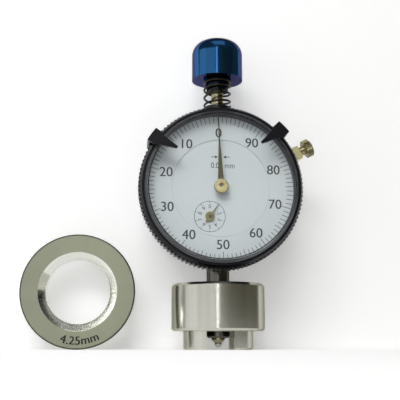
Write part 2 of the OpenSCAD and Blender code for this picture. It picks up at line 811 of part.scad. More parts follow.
module counter_arbor() {
    color(steel) at_counter() {
        layer(cock_d2 - cock_t + slide_gap, counter_hand_d1 + counter_hand_t + 0.2) circle(arbor_r);
        layer(-rack_pinion_w / 2, rack_pinion_w / 2)
            gear_outline(rack_pinion_teeth, rack_pitch_r, rack_module, 180 / rack_pinion_teeth, 0);
    }
}

module drive_gear() {
    color(brass) at_counter() layer(drive_d1, drive_d1 + gear_t)
        gear_outline(gear_teeth, gear_pitch_r, train_module, counter_dir, arbor_r + fixed);
}

module take_up_arbor() {
    color(steel) at_take_up() {
        layer(movement_rear + slide_gap, case_front - web_t / 3 - slide_gap) circle(arbor_r);
        layer(take_up_d1 + gear_t, web_rear - slide_gap) circle(hair_r1 - hair_t - 0.2);
    }
}

// The centre pinion has a tooth space towards the drive gear, so the take-up gear is set to meet it.
module take_up_gear() {
    offset = (take_up_at - pinion_phase) / pinion_tooth;
    share = offset - floor(offset);
    color(brass) at_take_up() layer(take_up_d1, take_up_d1 + gear_t)
        gear_outline(gear_teeth, gear_pitch_r, train_module,
                     take_up_at + 180 + (share + 0.5) * 360 / gear_teeth, arbor_r + fixed);
}

module bezel() {
    color(black) difference() {
        union() {
            dial_turned() polygon([
                [bezel_in_r, bezel_rear], [bezel_tail_r, bezel_rear],
                [bezel_tail_r, rim_rear], [rim_root_r, rim_rear],
                [rim_root_r, rim_front], [front_ring_r, rim_front], [front_ring_r, bezel_front - 1.2],
                [front_ring_r - 0.7, bezel_front],
                [crystal_r + slide_gap, bezel_front], [crystal_r + slide_gap, seat_depth],
                [opening_r, seat_depth], [opening_r, dial_front], [dial_ring_r + slide_gap, dial_front],
                [dial_ring_r + slide_gap, case_front + 0.1], [bezel_in_r, case_front + 0.1]
            ]);
            dial_layer(rim_rear, rim_front) difference() {
                polygon([for (k = [0 : flutes - 1], p = [[0, 0], [0.28, 0], [0.5, 1], [0.78, 1]])
                         let (r = bezel_r - p[1] * flute_depth, a = (k + p[0]) * 360 / flutes)
                         [r * cos(a), r * sin(a)]]);
                circle((bezel_in_r + rim_root_r) / 2);
            }
        }
        dial_turned() translate([wire_ring_r, wire_at]) circle(wire_r + 0.1);
    }
}

module crystal() {
    color([0.8, 0.85, 0.85, 0.3]) dial_turned() polygon([
        [0, crystal_top + crystal_crown], [opening_r, crystal_top],
        [crystal_r, crystal_step], [crystal_r, crystal_back],
        [opening_r - 0.2, crystal_back], [opening_r - 0.6, crystal_top - crystal_t],
        [0, crystal_top + crystal_crown - crystal_t]
    ]);
}

module crystal_seal() {
    color(black) dial_turned() translate([opening_r + 0.1, seat_depth])
        square([crystal_r - opening_r - 0.2, seal_t]);
}

module dial_ring() {
    color(white) dial_layer(dial_front - dial_t, dial_front) difference() {
        circle(dial_ring_r);
        circle(plate_r + 0.2);
    }
}

// A clip that hooks behind the knurled rim and points at the dial. side is 1 where the zero lies clockwise.
module marker(angle, side) {
    color(black) on_dial(angle) {
        layer(marker_d2, marker_d2 + marker_t) intersection() {
            circle(marker_r);
            polygon([[marker_r + past, -side * marker_w / 2], [marker_r + past, side * marker_w / 2],
                     [marker_neck_r, side * marker_w / 2], [marker_neck_r - 0.5, side * marker_neck_w / 2],
                     [marker_tip_r, -side * (marker_off - marker_tip_w / 2)],
                     [marker_tip_r, -side * (marker_off + marker_tip_w / 2)],
                     [marker_neck_r - 0.5, -side * marker_neck_w / 2], [marker_neck_r, -side * marker_w / 2]]);
        }
        layer(marker_d1, marker_d2 + marker_t / 2) ring_strip(marker_wall_r, marker_r, marker_w);
        layer(marker_d1, marker_d1 + marker_lip_t) ring_strip(marker_lip_r, marker_r, marker_w);
        layer(bezel_front + slide_gap, marker_d2 + marker_t / 2)
            ring_strip(crystal_r + clear, front_ring_r - 0.7, 0.6 * marker_w);
    }
}

module marker_left() {
    marker(90 + marker_left_at, 1);
}

module marker_right() {
    marker(90 - marker_right_at, -1);
}

module setting_ring() {
    color(steel) translate([-ring_x, ring_y, ring_r]) rotate([-90, 0, 0]) rotate_extrude() polygon([
        [ring_sink_d / 2, 0], [ring_r - ring_bevel, 0], [ring_r, ring_bevel], [ring_r, ring_t - ring_bevel],
        [ring_r - ring_bevel, ring_t], [ring_bore_r, ring_t], [ring_bore_r, ring_sink]
    ]);
}

case();
back_cover();
cover_screws();
stem();
upper_bush();
movement_plate();
pillars();
guide_rail();
pinion_cock();
spring_post();
return_spring();
hairspring();
dial_plate();
bezel_wire();
clamp_plate();
clamp_nut();
base();
base_set_screw();
knob_spring();
spindle();
guide_pin();
knob();
contact_point();
contact_ball();
main_hand();
hand_hub();
centre_arbor();
counter_hand();
counter_arbor();
drive_gear();
take_up_arbor();
take_up_gear();
bezel();
crystal();
crystal_seal();
dial_ring();
marker_left();
marker_right();
clamp_screw();
setting_ring();
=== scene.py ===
"""Dresses the crimp height gauge: its finishes, dial print, springs, ring mark, light and camera."""
import logging
import math
from dataclasses import dataclass
from enum import Enum
from functools import cache

import bmesh
import bpy
from mathutils import Matrix, Vector


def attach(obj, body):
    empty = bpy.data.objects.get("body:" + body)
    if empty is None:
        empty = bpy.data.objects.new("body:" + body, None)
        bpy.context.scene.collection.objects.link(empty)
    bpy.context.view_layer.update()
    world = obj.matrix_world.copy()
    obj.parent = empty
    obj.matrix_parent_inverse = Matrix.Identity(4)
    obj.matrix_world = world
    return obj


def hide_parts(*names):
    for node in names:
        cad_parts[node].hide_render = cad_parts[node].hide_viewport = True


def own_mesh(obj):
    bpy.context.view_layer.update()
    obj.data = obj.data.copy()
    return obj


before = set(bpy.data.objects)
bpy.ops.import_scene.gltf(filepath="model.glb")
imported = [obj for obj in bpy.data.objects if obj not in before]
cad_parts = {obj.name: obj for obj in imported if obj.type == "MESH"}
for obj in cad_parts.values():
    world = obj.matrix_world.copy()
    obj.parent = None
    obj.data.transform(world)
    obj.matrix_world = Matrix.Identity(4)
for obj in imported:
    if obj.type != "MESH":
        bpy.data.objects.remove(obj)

logging.basicConfig(level=logging.INFO, format="%(message)s")
LOG = logging.getLogger("gauge")

Tree = bpy.types.NodeTree
Socket = bpy.types.NodeSocket
Color = tuple[float, float, float, float]
Place = tuple[float, float, float]

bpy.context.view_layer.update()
MM = 0.001
# Where the dial's centre, the ring's centre and the clamp's screw stand on the gauge
DIAL_Z = 55 * MM
RING_X = -48.9 * MM
RING_Z = 20 * MM
CLAMP_Y = -3.35 * MM
CLAMP_TURN = math.radians(27)
# A tenth of a turn, which parts two numbers of the dial
TENTH_DEG = 36
# Width added to the strokes of the dial's numbers and of the ring's mark
NUMBER_BOLD_MM = 0.1
ETCH_BOLD_MM = 0.16
# Stands a flat drawing, made in X and Y, up to face the front
UPRIGHT = Matrix.Rotation(math.pi / 2, 4, "X")

# Rays that soften each edge, and the size of the faint clouds in a colour
BEVEL_SAMPLES = 4
CLOUD_MM = 3.5
# Share by which the grain of a painted or anodised finish changes its roughness
GRAIN_HAZE = 0.15
# How well the softened normal agrees with the plain one where a face is flat, and where an edge is rubbed
FLAT_MATCH = 0.99
EDGE_MATCH = 0.85
# Half the width of the border between two zones of a turned face, and of a knurled grip's border
ZONE_EDGE_MM = 0.06
GRIP_EDGE_MM = 0.02
# Refractive index of the clear oxide on anodised metal, and its roughness as a share of the metal's
OXIDE_IOR = 1.6
OXIDE_HAZE = 0.5


class Body(str, Enum):
    """Bodies of the frame that pieces of the scene ride on."""

    FRAME = "frame"
    BEZEL = "bezel_set"
    RING = "ring"


class TurnAxis(Enum):
    """Axes that turned pieces were cut about: a point on each and its direction."""

    SPINDLE = ((0.0, 0.0, 0.0), (0.0, 0.0, 1.0))
    DIAL = ((0.0, 0.0, DIAL_Z), (0.0, 1.0, 0.0))
    RING = ((RING_X, 0.0, RING_Z), (0.0, 1.0, 0.0))
    CLAMP = ((0.0, CLAMP_Y, DIAL_Z), (math.cos(CLAMP_TURN), 0.0, math.sin(CLAMP_TURN)))


def linear(code: str) -> Color:
    """Turns an sRGB colour code into linear values.

    Args:
        code: Six hexadecimal digits after a hash sign.

    Returns:
        Linear red, green, blue and an alpha of one.
    """
    parts = [int(code[i : i + 2], 16) / 255 for i in (1, 3, 5)]
    red, green, blue = (p / 12.92 if p <= 0.04045 else ((p + 0.055) / 1.055) ** 2.4 for p in parts)
    return red, green, blue, 1.0


def add_node(tree: Tree, kind: str, inputs: dict | None = None, **settings: object) -> bpy.types.Node:
    """Adds a node, sets its properties and then its inputs.

    Args:
        tree: The tree that takes the node.
        kind: The node's type name.
        inputs: Input name or index to a constant value or to a socket to link.
        **settings: Properties of the node.

    Returns:
        The new node.
    """
    node = tree.nodes.new(kind)
    for key, value in settings.items():
        setattr(node, key, value)
    for key, value in (inputs or {}).items():
        if isinstance(value, Socket):
            tree.links.new(value, node.inputs[key])
        else:
            node.inputs[key].default_value = value
    return node


def number_math(tree: Tree, operation: str, first: Socket, second: Socket | float) -> Socket:
    """Works out one number from two.

    Args:
        tree: The material's tree.
        operation: What to do with the numbers.
        first: The first number.
        second: The second number.

    Returns:
        The result.
    """
    return add_node(tree, "ShaderNodeMath", {0: first, 1: second}, operation=operation).outputs["Value"]


def vector_math(tree: Tree, operation: str, inputs: dict) -> Socket:
    """Works out a vector, or a number for a length or a dot product.

    Args:
        tree: The material's tree.
        operation: What to do with the inputs.
        inputs: The inputs by name or index.

    Returns:
        The result.
    """
    output = "Value" if operation in ("LENGTH", "DOT_PRODUCT") else "Vector"
    return add_node(tree, "ShaderNodeVectorMath", inputs, operation=operation).outputs[output]


def noise(tree: Tree, place: Socket, scale: float, detail: float, rough: float = 0.5) -> Socket:
    """Adds a noise between nought and one.

    Args:
        tree: The material's tree.
        place: Where the surface's points stand.
        scale: How often the noise repeats in a unit of the place.
        detail: How many finer layers it has.
        rough: How strong the finer layers are.

    Returns:
        The noise.
    """
    inputs = {"Vector": place, "Scale": scale, "Detail": detail, "Roughness": rough}
    return add_node(tree, "ShaderNodeTexNoise", inputs).outputs["Fac"]


def ranged(tree: Tree, share: Socket, low: Socket | float, high: Socket | float) -> Socket:
    """Turns a share between nought and one into a level.

    Args:
        tree: The material's tree.
        share: The share.
        low: The level at nought.
        high: The level at one.

    Returns:
        The level.
    """
    inputs = {"Value": share, "To Min": low, "To Max": high}
    return add_node(tree, "ShaderNodeMapRange", inputs).outputs["Result"]


def step_mask(tree: Tree, span: Socket, empty_mm: float, full_mm: float) -> Socket:
    """Marks one side of a radius.

    Args:
        tree: The material's tree.
        span: Distance from the axis in metres.
        empty_mm: Radius at which the mask is still empty.
        full_mm: Radius at which it is full.

    Returns:
        The mask.
    """
    inputs = {"Value": span, "From Min": empty_mm * MM, "From Max": full_mm * MM}
    return add_node(tree, "ShaderNodeMapRange", inputs).outputs["Result"]


def laid_over(tree: Tree, mask: Socket, under: Socket | Color, code: str) -> Socket:
    """Lays a colour over another through a mask.

    Args:
        tree: The material's tree.
        mask: Where the upper colour shows.
        under: The lower colour.
        code: The upper colour's sRGB code.

    Returns:
        The mixed colour.
    """
    inputs = {"Fac": mask, "Color1": under, "Color2": linear(code)}
    return add_node(tree, "ShaderNodeMixRGB", inputs).outputs["Color"]


def clouded(tree: Tree, code: str, clouds: Socket, swing: float) -> Socket:
    """Lightens and darkens a colour by a noise.

    Args:
        tree: The material's tree.
        code: The colour's sRGB code.
        clouds: The noise.
        swing: Share by which the colour changes where the noise is strong.

    Returns:
        The clouded colour.
    """
    value = ranged(tree, clouds, 1 - swing * 2, 1 + swing * 2)
    return add_node(tree, "ShaderNodeHueSaturation", {"Value": value, "Color": linear(code)}).outputs["Color"]


def relief(tree: Tree, shader: bpy.types.Node, pattern: Socket, height_mm: float, edge_mm: float) -> Socket:
    """Raises a fine pattern on a surface and softens its edges.

    Args:
        tree: The material's tree.
        shader: Its principled shader.
        pattern: The pattern between nought and one.
        height_mm: How high the pattern stands.
        edge_mm: Radius of the softened edges.

    Returns:
        The normal that has the soft edges alone.
    """
    bevel = add_node(tree, "ShaderNodeBevel", {"Radius": edge_mm * MM}, samples=BEVEL_SAMPLES)
    soft = bevel.outputs["Normal"]
    inputs = {"Strength": 1.0, "Distance": height_mm * MM, "Height": pattern, "Normal": soft}
    bump = add_node(tree, "ShaderNodeBump", inputs)
    tree.links.new(bump.outputs["Normal"], shader.inputs["Normal"])
    return soft


def let_through(tree: Tree, shader: bpy.types.Node, mask: Socket) -> None:
    """Makes a surface clear where a mask is full.

    Args:
        tree: The material's tree.
        shader: Its principled shader.
        mask: Where the surface is clear.
    """
    clear = add_node(tree, "ShaderNodeBsdfTransparent").outputs["BSDF"]
    mix = add_node(tree, "ShaderNodeMixShader", {0: mask, 1: shader.outputs["BSDF"], 2: clear})
    tree.links.new(mix.outputs["Shader"], tree.nodes["Material Output"].inputs["Surface"])


@dataclass(frozen=True)
class Reach:
    """Sockets that give a point's place about an axis."""

    along: Socket
    across: Socket
    radius: Socket


def reach_from(tree: Tree, axis: TurnAxis) -> Reach:
    """Finds where a point of the surface stands about an axis.

    Args:
        tree: The material's tree.
        axis: The axis.

    Returns:
        The point's distance along the axis, its arm across it and its distance from it, in metres.
    """
    point, direction = axis.value
    place = add_node(tree, "ShaderNodeTexCoord").outputs["Object"]
    arm = vector_math(tree, "SUBTRACT", {0: place, 1: point})
    along = vector_math(tree, "DOT_PRODUCT", {0: arm, 1: direction})
    foot = vector_math(tree, "SCALE", {0: direction, "Scale": along})
    across = vector_math(tree, "SUBTRACT", {0: arm, 1: foot})
    return Reach(along, across, vector_math(tree, "LENGTH", {0: across}))


@dataclass(frozen=True)
class Finish:
    """A plain finish: one principled shader."""

    name: str
    color: str
    metallic: float = 0.0
    roughness: float = 0.5
    edge: str = "#FFFFFF"
    coat: float = 0.0

    @cache
    def material(self) -> bpy.types.Material:
        """Builds the finish's material at its first use.

        Returns:
            The material.
        """
        made = bpy.data.materials.new(self.name)
        made.use_nodes = True
        tree = made.node_tree
        shader = tree.nodes["Principled BSDF"]
        shader.inputs["Base Color"].default_value = linear(self.color)
        shader.inputs["Metallic"].default_value = self.metallic
        shader.inputs["Roughness"].default_value = self.roughness
        shader.inputs["Specular Tint"].default_value = linear(self.edge)
        shader.inputs["Coat Weight"].default_value = self.coat
        shader.inputs["Coat Roughness"].default_value = self.roughness * OXIDE_HAZE
        shader.inputs["Coat IOR"].default_value = OXIDE_IOR
        self.detail(tree, shader)
        return made

    def detail(self, tree: Tree, shader: bpy.types.Node) -> None:
        """Adds what sets this finish apart.

        Args:
            tree: The material's tree.
            shader: Its principled shader.
        """


@dataclass(frozen=True)
class Grained(Finish):
    """A fine-grained finish with slight clouds of colour and edges rubbed by handling.

    The grain has its real size, so at the photograph's scale it only softens the highlights.
    """

    grain_mm: float = 0.25
    height_mm: float = 0.004
    cloud: float = 0.06
    edge_mm: float = 0.12
    worn: str = "#808080"
    wear: float = 0.0

    def detail(self, tree: Tree, shader: bpy.types.Node) -> None:
        """Adds the grain, the clouds and the edges.

        Args:
            tree: The material's tree.
            shader: Its principled shader.
        """
        place = add_node(tree, "ShaderNodeTexCoord").outputs["Object"]
        grain = noise(tree, place, 1 / (self.grain_mm * MM), detail=2.0)
        soft = relief(tree, shader, grain, self.height_mm, self.edge_mm)
        haze = ranged(tree, grain, self.roughness * (1 - GRAIN_HAZE), self.roughness * (1 + GRAIN_HAZE))
        tree.links.new(haze, shader.inputs["Roughness"])
        clouds = noise(tree, place, 1 / (CLOUD_MM * MM), detail=3.0)
        tint = clouded(tree, self.color, clouds, self.cloud)
        if self.wear > 0:
            tint = laid_over(tree, self._rubbed(tree, soft, clouds), tint, self.worn)
        tree.links.new(self.tinted(tree, tint), shader.inputs["Base Color"])

    def _rubbed(self, tree: Tree, soft: Socket, clouds: Socket) -> Socket:
        """Finds the edges that handling has rubbed, in patches.

        Args:
            tree: The material's tree.
            soft: The normal with soft edges.
            clouds: The noise that makes the patches.

        Returns:
            The mask of the rubbed edges.
        """
        plain = add_node(tree, "ShaderNodeNewGeometry").outputs["Normal"]
        match = vector_math(tree, "DOT_PRODUCT", {0: soft, 1: plain})
        inputs = {"Value": match, "From Min": FLAT_MATCH, "From Max": EDGE_MATCH, "To Max": self.wear}
        edges = add_node(tree, "ShaderNodeMapRange", inputs).outputs["Result"]
        return number_math(tree, "MULTIPLY", edges, clouds)

    def tinted(self, tree: Tree, tint: Socket) -> Socket:
        """Gives the finish's colour its last change, which is none here."""
        return tint


@dataclass(frozen=True)
class Knurled(Grained):
    """A grained finish on a knurled grip: from a radius outwards, grooves painted dark as shade, under
    lighter crests that are rubbed and carry a painted highlight.
    """

    axis: TurnAxis = TurnAxis.DIAL
    from_mm: float = 9.95
    root_mm: float = 10.0
    crest_mm: float = 10.2
    # Colours of the painted shade in the grooves, and of the crests, which are rubbed and carry a painted
    # highlight
    groove: str = "#000000"
    crest: str = "#FFFFFF"
    rubbed_from: float = 0.35

    def tinted(self, tree: Tree, tint: Socket) -> Socket:
        """Paints shade into the grooves and lightens the crests, which are rubbed and carry a painted
        highlight.

        Args:
            tree: The material's tree.
            tint: The colour so far.

        Returns:
            The colour to use.
        """
        radius = reach_from(tree, self.axis).radius
        shoulder_mm = self.root_mm + (self.crest_mm - self.root_mm) * self.rubbed_from
        # Painted shade over the grip, and lighter crests that are rubbed and carry a painted highlight
        grip = step_mask(tree, radius, self.from_mm - GRIP_EDGE_MM, self.from_mm + GRIP_EDGE_MM)
        rubbed = step_mask(tree, radius, shoulder_mm, self.crest_mm)
        return laid_over(tree, rubbed, laid_over(tree, grip, tint, self.groove), self.crest)


@dataclass(frozen=True)
class Necked(Grained):
    """A grained finish with painted shade on the neck inside a radius."""

    axis: TurnAxis = TurnAxis.SPINDLE
    neck_mm: float = 4.2
    fade_mm: float = 0.4
    neck: str = "#10202F"

    def tinted(self, tree: Tree, tint: Socket) -> Socket:
        """Paints shade on the neck.

        Args:
            tree: The material's tree.
            tint: The colour so far.

        Returns:
            The colour to use.
        """
        radius = reach_from(tree, self.axis).radius
        # Painted shade on the neck under the knob
        inside = step_mask(tree, radius, self.neck_mm + self.fade_mm, self.neck_mm)
        return laid_over(tree, inside, tint, self.neck)


@dataclass(frozen=True)
class Turned(Finish):
    """Metal cut on a lathe: fine lines run around its axis, and soft bands show where it was honed.

    The lines have their real spacing, so at the photograph's scale they only draw out the highlights. Within
    one radius the metal is made smoother and its colour is a painted highlight; beyond another its colour is
    painted shade.
    """

    axis: TurnAxis = TurnAxis.SPINDLE
    line_mm: float = 0.09
    height_mm: float = 0.0012
    haze: float = 0.25
    bands: float = 0.06
    band_deg: float = 7.0
    edge_mm: float = 0.12
    # Within this radius the metal is made smoother and its colour is painted brighter as a highlight
    polish_mm: float = 0.0
    polish: str = "#E2E3DC"
    polish_haze: float = 0.4
    # Beyond this radius the colour is painted darker as shade
    dark_mm: float = 100.0
    dark: str = "#4A4A3F"

    def detail(self, tree: Tree, shader: bpy.types.Node) -> None:
        """Adds the lathe lines, the soft edges, the bands, and the zones of painted highlight and painted
        shade.

        Args:
            tree: The material's tree.
            shader: Its principled shader.
        """
        reach = reach_from(tree, self.axis)
        lathe = add_node(tree, "ShaderNodeCombineXYZ", {"X": reach.radius, "Z": reach.along})
        lines = noise(tree, lathe.outputs["Vector"], 1 / (self.line_mm * MM), detail=3.0, rough=0.6)
        relief(tree, shader, lines, self.height_mm, self.edge_mm)
        spoke = vector_math(tree, "NORMALIZE", {0: reach.across})
        honed = noise(tree, spoke, math.degrees(1) / self.band_deg, detail=3.0)
        tint = clouded(tree, self.color, honed, self.bands)
        # Painted highlight within one radius, painted shade beyond another
        polished_and_highlit = step_mask(tree, reach.radius, self.polish_mm + ZONE_EDGE_MM, self.polish_mm - ZONE_EDGE_MM)
        darkened = step_mask(tree, reach.radius, self.dark_mm - ZONE_EDGE_MM, self.dark_mm + ZONE_EDGE_MM)
        tint = laid_over(tree, darkened, laid_over(tree, polished_and_highlit, tint, self.polish), self.dark)
        tree.links.new(tint, shader.inputs["Base Color"])
        gloss = ranged(tree, lines, self.roughness * (1 - self.haze), self.roughness * (1 + self.haze))
        sheen = ranged(tree, polished_and_highlit, gloss, self.roughness * self.polish_haze)
        tree.links.new(sheen, shader.inputs["Roughness"])


@dataclass(frozen=True)
class Clear(Finish):
    """Clear polished plastic with a hazy turned rim, which lets shadow rays through."""

    ior: float = 1.49
    rim_mm: float = 25.35
    rim_fade_mm: float = 0.1
    rim_clear: float = 0.7
    rim_roughness: float = 0.3
    rim_color: str = "#5A5C62"

    def detail(self, tree: Tree, shader: bpy.types.Node) -> None:
        """Makes the shader clear.

        Args:
            tree: The material's tree.
            shader: Its principled shader.
        """
        shader.inputs["IOR"].default_value = self.ior
        radius = reach_from(tree, TurnAxis.DIAL).radius
        rim = step_mask(tree, radius, self.rim_mm, self.rim_mm + self.rim_fade_mm)
        tree.links.new(ranged(tree, rim, 1.0, self.rim_clear), shader.inputs["Transmission Weight"])
        tree.links.new(ranged(tree, rim, self.roughness, self.rim_roughness), shader.inputs["Roughness"])
        tint = laid_over(tree, rim, linear(self.color), self.rim_color)
        tree.links.new(tint, shader.inputs["Base Color"])
        let_through(tree, shader, add_node(tree, "ShaderNodeLightPath").outputs["Is Shadow Ray"])


@dataclass(frozen=True)
class Paper(Finish):
    """White paper that shows a little brighter than the lamps make it, and is clear from behind."""

    glow: float = 0.29

    def detail(self, tree: Tree, shader: bpy.types.Node) -> None:
        """Adds the glow, which metal and glass show as the camera does, and opens the back.

        Args:
            tree: The material's tree.
            shader: Its principled shader.
        """
        rays = add_node(tree, "ShaderNodeLightPath").outputs
        seen = number_math(tree, "MAXIMUM", rays["Is Camera Ray"], rays["Is Glossy Ray"])
        seen = number_math(tree, "MAXIMUM", seen, rays["Is Transmission Ray"])
        shader.inputs["Emission Color"].default_value = linear("#FFFFFF")
        tree.links.new(number_math(tree, "MULTIPLY", seen, self.glow), shader.inputs["Emission Strength"])
        let_through(tree, shader, add_node(tree, "ShaderNodeNewGeometry").outputs["Backfacing"])


# Paper of the backdrop: matt white, on which only soft shadow shows
STUDIO_PAPER = Paper("studio_paper", "#F6F6F6", roughness=0.9)
# Paper of the floor: the same white, helped a little more because the lamps reach it less
FLOOR_PAPER = Paper("floor_paper", "#F6F6F6", roughness=0.9, glow=0.4)
# Dull olive card: the right side of the metal mirrors it as a dark band
DARK_CARD = Finish("dark_card", "#86836C", roughness=0.9)
# Stove enamel on the case: deep black with a satin sheen, rubbed grey on its edges
BLACK_PAINT = Grained(
    "black_paint", "#0F1013", roughness=0.3, grain_mm=0.3, height_mm=0.003, worn="#6A6A6C", wear=0.5
)
# Dull lacquer on the bezel: the turned lip around the crystal painted grey-black as a sheen, the knurled grip
# painted blacker as shade
BEZEL_BLACK = Knurled(
    "bezel_black",
    "#34353B",
    roughness=0.36,
    edge="#9C9CA4",
    grain_mm=0.3,
    height_mm=0.003,
    axis=TurnAxis.DIAL,
    from_mm=26.3,
    root_mm=28.05,
    crest_mm=28.5,
    groove="#0B0B0D",
    crest="#303138",
)
# Polished tool steel: a bright, faintly warm mirror that its lathe lines blur along the spindle axis
TURNED_STEEL = Turned("turned_steel", "#C9C8BE", metallic=1.0, roughness=0.2, edge="#B2B1A2")
# Steel of the stem: a smooth dark grey, darker than the base's steel as painted shade between the bezel and
# the base
STEM_STEEL = Turned("stem_steel", "#66645D", metallic=1.0, roughness=0.16, edge="#8A8980")
# Ground steel of the spindle and the contact point: tinted warm as a painted reflection of olive surroundings
SPINDLE_STEEL = Turned("spindle_steel", "#A8A286", metallic=1.0, roughness=0.2, edge="#8A8980")
# Ground steel of the setting ring: a grey face tinted green as a painted reflection of olive surroundings, a
# smoother countersink painted bright as a highlight, and a rim painted dark as shade
RING_STEEL = Turned(
    "ring_steel",
    "#929682",
    metallic=1.0,
    roughness=0.3,
    axis=TurnAxis.RING,
    line_mm=0.14,
    height_mm=0.002,
    bands=0.04,
    band_deg=12.0,
    polish_mm=13.72,
    dark_mm=19.5,
)
# Hardened steel of the arbors, pins and small screws: dark grey with a dull gleam
DARK_STEEL = Turned("dark_steel", "#6E6C61", metallic=1.0, roughness=0.28)
# Drawn spring wire: a dark skin that hardly shines
SPRING_WIRE = Grained(
    "spring_wire", "#3A372F", metallic=1.0, roughness=0.34, grain_mm=0.12, height_mm=0.002, edge_mm=0.05
)
# Satin brass of the clamp's block and of the movement: pale yellow, brightened as painted light, brighter on
# its edges
BRASS = Grained(
    "brass",
    "#DDD7A6",
    metallic=1.0,
    roughness=0.42,
    grain_mm=0.15,
    height_mm=0.002,
    worn="#F0EBC8",
    wear=0.5,
)
# Brass of the clamp's head: browner and darker than the block's brass as painted shade, with crests painted
# bright as highlights and rubbed, over grooves painted dark as shade in its knurl
SHADED_HEAD_BRASS = Knurled(
    "head_brass_painted_shade",
    "#978F68",
    metallic=1.0,
    roughness=0.3,
    grain_mm=0.15,
    height_mm=0.003,
    edge_mm=0.03,
    axis=TurnAxis.CLAMP,
    from_mm=3.0,
    root_mm=3.05,
    crest_mm=3.25,
    groove="#2A2719",
    crest="#DAD3A3",
)
# Nickel plate on the clamp's plate: pale and evenly bright
PLATED_STEEL = Grained("plated_steel", "#B9BAB4", metallic=1.0, roughness=0.26, grain_mm=0.2, height_mm=0.002)
# Anodised aluminium of the knob: deep blue metal under a clear oxide, with painted shade darkening its neck
# under the knob
BLUE_ANODISE = Necked(
    "blue_anodise",
    "#1F6096",
    metallic=1.0,
    roughness=0.16,
    edge="#6E6862",
    coat=0.3,
    grain_mm=0.18,
    height_mm=0.001,
    cloud=0.04,
    worn="#7FA6C2",
    wear=0.4,
)
# Enamel of the dial: matt pale grey, almost even
DIAL_ENAMEL = Grained("dial_enamel", "#BEC6C8", roughness=0.6, grain_mm=0.2, height_mm=0.001, cloud=0.01)
# Lacquered bronze of the main pointer: dark olive with a dull sheen
HAND_LACQUER = Grained("hand_lacquer", "#55543C", metallic=0.6, roughness=0.4, grain_mm=0.2, height_mm=0.001)
# Bare bronze of the small pointer: paler than the main one
COUNTER_BRONZE = Grained(
    "counter_bronze", "#8D8560", metallic=0.8, roughness=0.36, grain_mm=0.2, height_mm=0.001
)
# Turned brass of the pointer's hub: pale gold rings
HUB_BRASS = Turned(
    "hub_brass",
    "#C9BE8A",
    metallic=1.0,
    roughness=0.3,
    axis=TurnAxis.DIAL,
    line_mm=0.12,
    bands=0.1,
    band_deg=20.0,
)
# Phosphate on the limit clips: dull black, rubbed to grey along its edges
CLIP_BLACK = Grained(
    "clip_black",
    "#0D0E11",
    roughness=0.36,
    edge="#A8A8AE",
    grain_mm=0.15,
    height_mm=0.004,
    worn="#77777A",
    wear=0.7,
)
# Rubber under the crystal: dull black
SEAL_RUBBER = Grained("seal_rubber", "#151515", roughness=0.8, grain_mm=0.2, height_mm=0.004)
# Acrylic of the crystal: clear, with a hazy grey rim
ACRYLIC = Clear("clear_acrylic", "#FFFFFF", roughness=0.02)
# Printing ink of the dial: flat greenish black
DIAL_INK = Grained("dial_ink", "#2C3432", roughness=0.6, grain_mm=0.15, height_mm=0.0005, cloud=0.08)
# Etched mark on the ring: flat brownish black
ETCH_INK = Grained("etched_mark", "#17160F", roughness=0.7, grain_mm=0.15, height_mm=0.001, cloud=0.1)

FINISHED_NODES: tuple[tuple[Finish, tuple[str, ...]], ...] = (
    (BLACK_PAINT, ("case", "back_cover", "upper_bush")),
    (BEZEL_BLACK, ("bezel",)),
    (TURNED_STEEL, ("base", "contact_ball")),
    (STEM_STEEL, ("stem",)),
    (SPINDLE_STEEL, ("spindle", "contact_point")),
    (DARK_STEEL, ("guide_pin", "base_set_screw", "spring_post", "cover_screws")),
    (DARK_STEEL, ("centre_arbor", "counter_arbor", "take_up_arbor")),
    (PLATED_STEEL, ("clamp_plate",)),
    (RING_STEEL, ("setting_ring",)),
    (SPRING_WIRE, ("knob_spring", "return_spring", "hairspring", "bezel_wire")),
    (SHADED_HEAD_BRASS, ("clamp_screw",)),
    (BRASS, ("clamp_nut", "movement_plate", "pillars", "guide_rail", "pinion_cock")),
    (BRASS, ("drive_gear", "take_up_gear")),
    (HUB_BRASS, ("hand_hub",)),
    (BLUE_ANODISE, ("knob",)),
    (DIAL_ENAMEL, ("dial_plate", "dial_ring")),
    (HAND_LACQUER, ("main_hand",)),
    (COUNTER_BRONZE, ("counter_hand",)),
    (CLIP_BLACK, ("marker_left", "marker_right")),
    (ACRYLIC, ("crystal",)),
    (SEAL_RUBBER, ("crystal_seal",)),
)


def on_dial(depth_mm: float) -> Matrix:
    """Places a flat drawing, made in X and Y about the dial's centre, on the front of the dial.

    Args:
        depth_mm: Distance of the drawing in front of the spindle axis.

    Returns:
        The drawing's placement.
    """
    return Matrix.Translation((0, -depth_mm * MM, DIAL_Z)) @ UPRIGHT


def baked(source: bpy.types.Object) -> bpy.types.Mesh:
    """Takes the finished mesh of an object and removes the object.

    Args:
        source: An object with modifiers, or a text.

    Returns:
        The mesh as it was shown.
    """
    shown = source.evaluated_get(bpy.context.evaluated_depsgraph_get())
    mesh = bpy.data.meshes.new_from_object(shown)
    bpy.data.objects.remove(source)
    return mesh


def joined(name: str, parts: list[tuple[bpy.types.Mesh, Matrix]], finish: Finish) -> bpy.types.Object:
    """Joins placed meshes into one piece at the origin.

    Args:
        name: The piece's name.
        parts: Meshes and their placements.
        finish: The piece's finish.

    Returns:
        The piece.
    """
    work = bmesh.new()
    for mesh, place in parts:
        copy = mesh.copy()
        copy.transform(place)
        work.from_mesh(copy)
        bpy.data.meshes.remove(copy)
    made = bpy.data.meshes.new(name)
    work.to_mesh(made)
    work.free()
    made.materials.clear()
    made.materials.append(finish.material())
    for face in made.polygons:
        face.material_index = 0
    piece = bpy.data.objects.new(name, made)
    bpy.context.scene.collection.objects.link(piece)
    LOG.info("%s: %d faces", name, len(made.polygons))
    return piece


